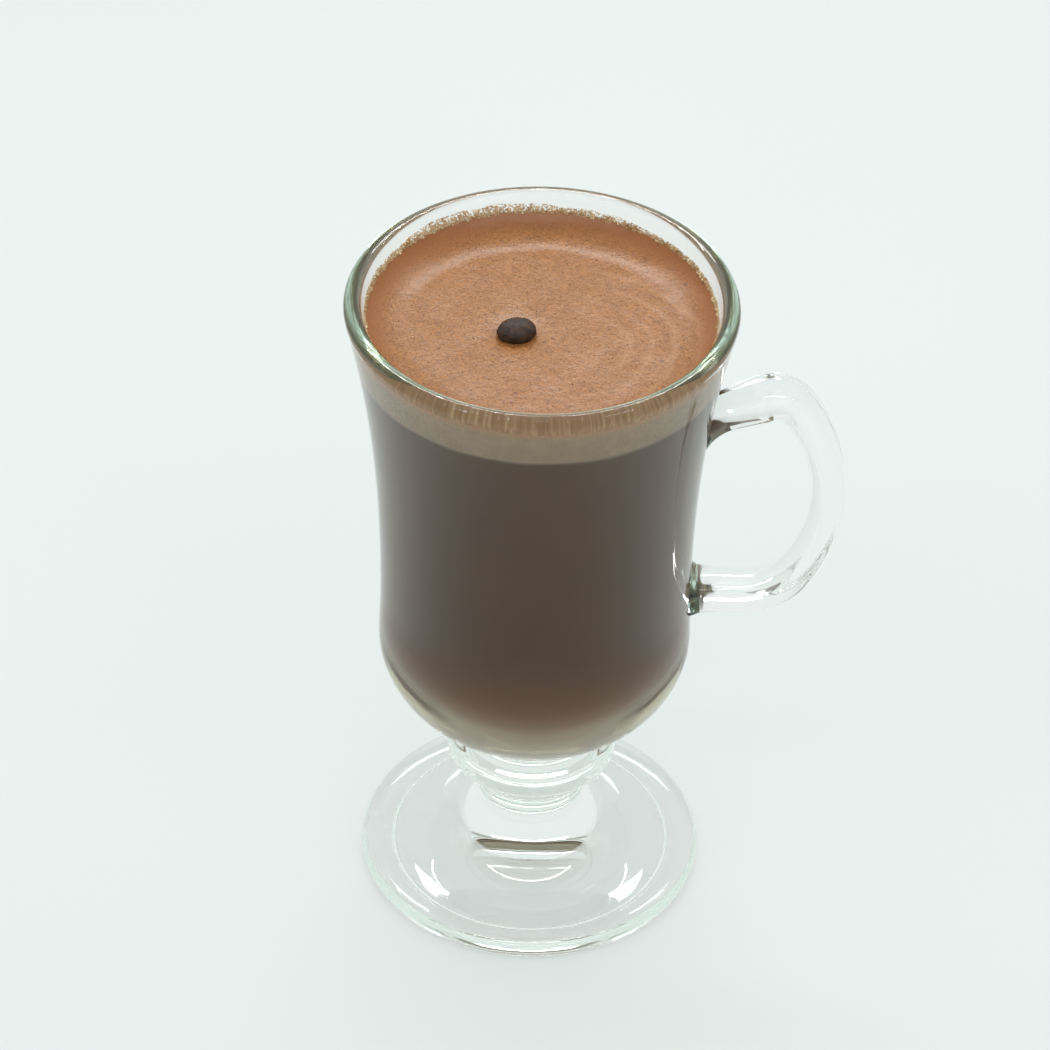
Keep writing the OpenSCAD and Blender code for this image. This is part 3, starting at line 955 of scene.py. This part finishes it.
def froth_material():
    """The top's colour or the side's, by the mark on the wall's faces, then specks, and pores as bump."""
    mat, tree, shader, out = new_material("cocoa_froth")
    coord = object_coord(tree)
    x, y, z = split_xyz(tree, coord)
    mottle = noise(tree, coord, 260, 5, 0.6)
    fine = noise(tree, coord, 2300, 2, 0.6)
    mark = add(tree, "ShaderNodeAttribute", attribute_name="on_wall")
    is_side = calc(tree, "GREATER_THAN", mark.outputs["Fac"], 0.5)
    colour = mix(tree, is_side, froth_top(tree, coord, mottle, fine, x, y), froth_side(tree, mottle, z))
    speck = froth_specks(tree, coord)
    colour = mix(tree, calc(tree, "MULTIPLY", speck, 0.75), colour, (0.14, 0.05, 0.025))
    pit = bump(tree, cell_pattern(tree, coord, 1500).outputs["Distance"], 0.45, 0.00007)
    link(tree, bump(tree, mottle, 0.5, 0.0003, pit), shader.inputs["Normal"])
    rough = calc(tree, "ADD", 0.18, calc(tree, "MULTIPLY", fine, 0.24))
    wet_mirror(tree, shader, colour, rough, is_side)
    shader.inputs["IOR"].default_value = 1.38
    return mat


finish_piece(froth, froth_material())

# %% [markdown]
# The bubbles at the wall are thin films of milk and cocoa: golden, glossy and half clear.

# %% Bubble finish


def bubble_material():
    """Two golds by noise, half clear and smooth, with the index of milk."""
    mat, tree, shader, out = new_material("edge_bubble")
    coord = object_coord(tree)
    tone = noise(tree, coord, 500, 3, 0.6)
    colour = ramp(tree, tone, [(0.35, (0.60, 0.37, 0.17)), (0.65, (0.90, 0.72, 0.44))])
    link(tree, colour, shader.inputs["Base Color"])
    shader.inputs["Roughness"].default_value = 0.12
    shader.inputs["IOR"].default_value = 1.35
    shader.inputs["Transmission Weight"].default_value = 0.40
    link(tree, bump(tree, tone, 0.1, 0.0001), shader.inputs["Normal"])
    return mat


bubble_finish = bubble_material()
for piece in (bubbles, fizz, streaks):
    finish_piece(piece, bubble_finish)

# %% [markdown]
# The film that drained down the wall is golden brown and drawn in thin upright streaks.

# %% Film finish


def film_material():
    """Golden brown streaks: noise on coordinates that are squeezed in height, so that its spots become
    lines."""
    mat, tree, shader, out = new_material("drained_froth_film")
    tall = tree.nodes.new("ShaderNodeMapping")
    tall.inputs["Scale"].default_value = (1, 1, 0.10)
    link(tree, object_coord(tree), tall.inputs["Vector"])
    streak = noise(tree, tall.outputs[0], 1500, 3, 0.6)
    colour = ramp(tree, streak, [
        (0.30, (0.30, 0.150, 0.058)), (0.52, (0.40, 0.220, 0.095)), (0.72, (0.56, 0.370, 0.190))])
    link(tree, colour, shader.inputs["Base Color"])
    shader.inputs["Roughness"].default_value = 0.35
    shader.inputs["IOR"].default_value = 1.2
    link(tree, bump(tree, streak, 0.3, 0.00008), shader.inputs["Normal"])
    return mat


finish_piece(film, film_material())

# %% [markdown]
# The bean is roasted nearly black. Its skin is satin, browner on the high wrinkles, with an oily gleam.

# %% Bean finish


def bean_material():
    """Two dark browns and a roughness by the same noise, with a coarse and a fine bump."""
    mat, tree, shader, out = new_material("roasted_bean_skin")
    coord = object_coord(tree)
    mottle = noise(tree, coord, 900, 4, 0.6)
    colour = ramp(tree, mottle, [(0.35, (0.015, 0.008, 0.0045)), (0.7, (0.060, 0.028, 0.014))])
    link(tree, colour, shader.inputs["Base Color"])
    rough = ramp(tree, mottle, [(0.3, (0.42,) * 3), (0.7, (0.62,) * 3)])
    shader.inputs["Specular IOR Level"].default_value = 0.28
    link(tree, rough, shader.inputs["Roughness"])
    fine = noise(tree, coord, 3200, 2, 0.5)
    link(tree, bump(tree, fine, 0.35, 0.00008, bump(tree, mottle, 0.4, 0.0002)), shader.inputs["Normal"])
    return mat


finish_piece(bean, bean_material())

# %% [markdown]
# Cocoa grains that lie wet in the froth are dark red brown, and a few are nearly black.

# %% Cocoa grain finish


def cocoa_material():
    """Two dark browns by noise, dull, with a bump of the same noise."""
    mat, tree, shader, out = new_material("cocoa_grain")
    coord = object_coord(tree)
    tone = noise(tree, coord, 700, 2, 0.5)
    colour = ramp(tree, tone, [(0.35, (0.10, 0.035, 0.014)), (0.65, (0.19, 0.075, 0.032))])
    link(tree, colour, shader.inputs["Base Color"])
    shader.inputs["Roughness"].default_value = 0.55
    link(tree, bump(tree, tone, 0.3, 0.00005), shader.inputs["Normal"])
    return mat


finish_piece(grains, cocoa_material())

# %% [markdown]
# The mug stands on a plain pale floor, which glows a little itself, so that shadows stay faint.

# %% Floor


def floor_material():
    """Two pale greys by slow noise, dull, and with a glow of its own."""
    mat, tree, shader, out = new_material("pale_floor")
    coord = object_coord(tree)
    soft = noise(tree, coord, 3, 3, 0.5)
    colour = ramp(tree, soft, [(0.3, (0.235, 0.25, 0.248)), (0.7, (0.25, 0.265, 0.262))])
    link(tree, colour, shader.inputs["Base Color"])
    shader.inputs["Emission Color"].default_value = (0.925, 0.985, 0.965, 1)
    shader.inputs["Emission Strength"].default_value = 0.54
    shader.inputs["Roughness"].default_value = 0.75
    shader.inputs["Specular IOR Level"].default_value = 0.15
    return mat


# the floor lies a tenth of a millimetre down, because the foot's ring would flicker in the same plane
HALF, DOWN = 5.0, -0.1 * MM
floor_mesh = bpy.data.meshes.new("floor")
corners = [(-HALF, -HALF, DOWN), (HALF, -HALF, DOWN), (HALF, HALF, DOWN), (-HALF, HALF, DOWN)]
floor_mesh.from_pydata(corners, [], [(0, 1, 2, 3)])
floor = bpy.data.objects.new("floor", floor_mesh)
scene.collection.objects.link(floor)
finish_piece(floor, floor_material())

# %% [markdown]
# The light is a bright, even tent: first of all a pale world, which gives the glass something to mirror.

# %% World light


def make_world():
    """A pale sky: bright above, a little darker towards the horizon, which draws the glass's edges."""
    world = bpy.data.worlds.new("tent")
    scene.world = world
    world.use_nodes = True
    tree = world.node_tree
    background = tree.nodes["Background"]
    direction = tree.nodes.new("ShaderNodeTexCoord").outputs["Generated"]
    colour = ramp(tree, split_xyz(tree, direction)[2], [
        (0.0, (0.74, 0.81, 0.78)), (0.16, (0.82, 0.87, 0.86)),
        (0.32, (0.86, 0.90, 0.89)), (1.0, (0.90, 0.92, 0.92))])
    link(tree, colour, background.inputs["Color"])
    background.inputs["Strength"].default_value = 0.95


make_world()

# %% [markdown]
# A soft lamp hangs over the back. Rows of small lamps hang on two bars, and their reflections make the
# bright dots along the rim and the foot.

# %% Lamps
LAMP_TARGET = Vector((0, 0, 0.1))


def area(name, place, size, power):
    """A soft rectangular lamp, turned so that it faces the drink."""
    data = bpy.data.lights.new(name, "AREA")
    data.shape = "RECTANGLE"
    data.size, data.size_y = size
    data.energy = power
    lamp = bpy.data.objects.new(name, data)
    lamp.location = place
    lamp.rotation_euler = (LAMP_TARGET - lamp.location).to_track_quat("-Z", "Y").to_euler()
    scene.collection.objects.link(lamp)


def lamp_row(name, y, z, half, count, power):
    """Small square lamps at even steps along a bar."""
    for k, x in enumerate(np.linspace(-half, half, count)):
        area(f"{name}_{k}", (x, y, z), (0.010, 0.010), power)


area("back_soft", (0.0, 0.42, 0.64), (0.50, 0.09), 1.6)
lamp_row("front_bar", -0.22, 0.50, 0.35, 31, 0.022)
lamp_row("back_bar", 0.26, 0.50, 0.35, 31, 0.018)
